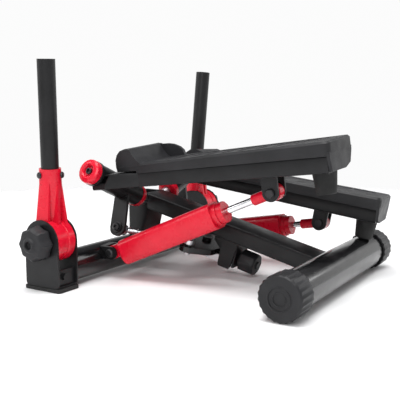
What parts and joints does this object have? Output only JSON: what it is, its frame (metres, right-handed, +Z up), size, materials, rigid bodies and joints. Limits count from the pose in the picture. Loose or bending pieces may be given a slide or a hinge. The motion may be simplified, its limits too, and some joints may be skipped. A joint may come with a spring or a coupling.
{
  "type": "stepper",
  "caption": "Twist stepper: pedals on inclined pivots joined by a rocker with a height adjuster, damped by slim cylinders, with uprights clamped in swivelling hubs.",
  "frame": {"origin": "middle of the footprint at floor level", "axes": "+X to the user's right, +Y forward towards the uprights, +Z up"},
  "size_m": [0.4962, 0.4269, 0.325],
  "materials": {
    "powder_coat": "satin black powder coat",
    "gloss_black": "smooth black enamel",
    "black_plastic": "charcoal moulded plastic with a fine grain",
    "black_rubber": "matte black",
    "red_plastic": "glossy red moulding",
    "chrome": "polished",
    "zinc": "bright zinc plate",
    "black_oxide": "black oxide"
  },
  "bodies": {
    "frame": {"front_crossbar": "gloss_black", "pivot_post": "powder_coat", "main_beam": "powder_coat", "rear_tube": "gloss_black", "adjuster_bracket": "powder_coat", "rear_cap_left": "black_plastic", "rear_cap_right": "black_plastic", "upright_bracket_left": "powder_coat", "upright_bracket_right": "powder_coat", "foot_pad_left": "black_rubber", "foot_pad_right": "black_rubber", "cylinder_mount_left": "powder_coat", "cylinder_mount_right": "powder_coat", "cylinder_mount_bolt_left": "black_oxide", "cylinder_mount_bolt_right": "black_oxide", "pivot_shaft_left": "zinc", "pivot_shaft_right": "zinc", "pivot_end_bolt_left": "black_oxide", "pivot_end_bolt_right": "black_oxide"},
    "adjuster": {"adjuster_knob": "black_plastic"},
    "pivot_block": {"pivot_block": "zinc"},
    "rocker": {"rocker_lever": "gloss_black", "rocker_pivot_bolt": "black_oxide", "rocker_tip_bolt_left": "zinc", "rocker_tip_bolt_right": "zinc"},
    "link_left": {"link_rod_left": "zinc"},
    "pedal_left": {"pivot_sleeve_left": "powder_coat", "sleeve_cap_outer_left": "red_plastic", "sleeve_cap_inner_left": "red_plastic", "pedal_beam_left": "powder_coat", "footplate_left": "black_plastic", "bumper_left": "black_rubber", "rod_end_bolt_left": "black_oxide", "crank_bolt_left": "black_oxide"},
    "barrel_left": {"cylinder_barrel_left": "red_plastic"},
    "rod_left": {"piston_rod_left": "chrome", "rod_end_left": "red_plastic"},
    "upright_left": {"upright_hub_left": "red_plastic", "upright_tube_left": "powder_coat", "hub_bolt_outer_left": "black_oxide", "hub_bolt_rear_left": "black_oxide"},
    "clamp_knob_left": {"clamp_knob_left": "black_plastic"},
    "link_right": {"link_rod_right": "zinc"},
    "pedal_right": {"pivot_sleeve_right": "powder_coat", "sleeve_cap_outer_right": "red_plastic", "sleeve_cap_inner_right": "red_plastic", "pedal_beam_right": "powder_coat", "footplate_right": "black_plastic", "bumper_right": "black_rubber", "rod_end_bolt_right": "black_oxide", "crank_bolt_right": "black_oxide"},
    "barrel_right": {"cylinder_barrel_right": "red_plastic"},
    "rod_right": {"piston_rod_right": "chrome", "rod_end_right": "red_plastic"},
    "upright_right": {"upright_hub_right": "red_plastic", "upright_tube_right": "powder_coat", "hub_bolt_outer_right": "black_oxide", "hub_bolt_rear_right": "black_oxide"},
    "clamp_knob_right": {"clamp_knob_right": "black_plastic"}
  },
  "joints": [
    {"name": "left_pedal_pivot", "type": "hinge", "parent": "frame", "child": "pedal_left", "pos_m": [0, 0.1445, 0.1006], "axis": [0.9214, 0, -0.3886], "range_deg": [0, 17.05]},
    {"name": "right_pedal_pivot", "type": "hinge", "parent": "frame", "child": "pedal_right", "pos_m": [0, 0.1445, 0.1006], "axis": [0.9214, 0, 0.3886], "range_deg": [-17.06, 0]},
    {"name": "left_cylinder_pivot", "type": "hinge", "parent": "frame", "child": "barrel_left", "pos_m": [-0.103, 0.1405, 0.04], "axis": [0.904, 0.0157, -0.4272], "range_deg": [0, 15.5]},
    {"name": "left_rod_slide", "type": "slide", "parent": "barrel_left", "child": "rod_left", "axis": [0.0725, -0.9121, 0.4035], "range_m": [-0.0277, 0]},
    {"name": "right_cylinder_pivot", "type": "hinge", "parent": "frame", "child": "barrel_right", "pos_m": [0.103, 0.1405, 0.04], "axis": [0.9042, -0.0146, 0.4269], "range_deg": [-15.85, 0]},
    {"name": "right_rod_slide", "type": "slide", "parent": "barrel_right", "child": "rod_right", "axis": [0.0377, -0.9851, 0.1677], "range_m": [0, 0.0281]},
    {"name": "adjuster_spin", "type": "hinge", "parent": "frame", "child": "adjuster", "pos_m": [0, 0.04236, 0.04294], "axis": [0, 0.9696, 0.2446], "range_deg": [-360, 360]},
    {"name": "pivot_block_slide", "type": "slide", "parent": "frame", "child": "pivot_block", "axis": [0, 0.9696, 0.2446], "range_m": [-0.0015, 0.0015]},
    {"name": "rocker_pivot", "type": "hinge", "parent": "pivot_block", "child": "rocker", "pos_m": [0, 0.0415, 0.04633], "axis": [0, -0.2446, 0.9696], "range_deg": [-23.5, 0]},
    {"name": "left_link_pivot", "type": "hinge", "parent": "pedal_left", "child": "link_left", "pos_m": [-0.09161, 0.13646, 0.07252], "axis": [0.8632, -0.3579, -0.3561], "range_deg": [-27.3, 0]},
    {"name": "right_link_pivot", "type": "hinge", "parent": "pedal_right", "child": "link_right", "pos_m": [0.09148, 0.15484, 0.07284], "axis": [0.8197, 0.3513, 0.4524], "range_deg": [0, 27.1]},
    {"name": "left_upright_tilt", "type": "hinge", "parent": "frame", "child": "upright_left", "pos_m": [-0.202, 0.17925, 0.069], "axis": [1, 0, 0], "range_deg": [-15, 75]},
    {"name": "left_clamp_spin", "type": "hinge", "parent": "frame", "child": "clamp_knob_left", "pos_m": [-0.202, 0.17925, 0.069], "axis": [1, 0, 0], "continuous": true},
    {"name": "right_upright_tilt", "type": "hinge", "parent": "frame", "child": "upright_right", "pos_m": [0.202, 0.17925, 0.069], "axis": [1, 0, 0], "range_deg": [-15, 75]},
    {"name": "right_clamp_spin", "type": "hinge", "parent": "frame", "child": "clamp_knob_right", "pos_m": [0.202, 0.17925, 0.069], "axis": [1, 0, 0], "continuous": true}
  ],
  "couplings": [
    {"joint": "right_pedal_pivot", "follows": "left_pedal_pivot", "ratio": -1},
    {"joint": "left_cylinder_pivot", "follows": "left_pedal_pivot", "ratio": 0.90705},
    {"joint": "left_rod_slide", "follows": "left_pedal_pivot", "m_per_rad": -0.092522},
    {"joint": "right_cylinder_pivot", "follows": "left_pedal_pivot", "ratio": -0.92749},
    {"joint": "right_rod_slide", "follows": "left_pedal_pivot", "m_per_rad": 0.093811},
    {"joint": "rocker_pivot", "follows": "left_pedal_pivot", "ratio": -1.3732},
    {"joint": "left_link_pivot", "follows": "left_pedal_pivot", "ratio": -1.5967},
    {"joint": "right_link_pivot", "follows": "left_pedal_pivot", "ratio": 1.5822},
    {"joint": "adjuster_spin", "follows": "pivot_block_slide", "rad_per_m": 4188.8}
  ]
}
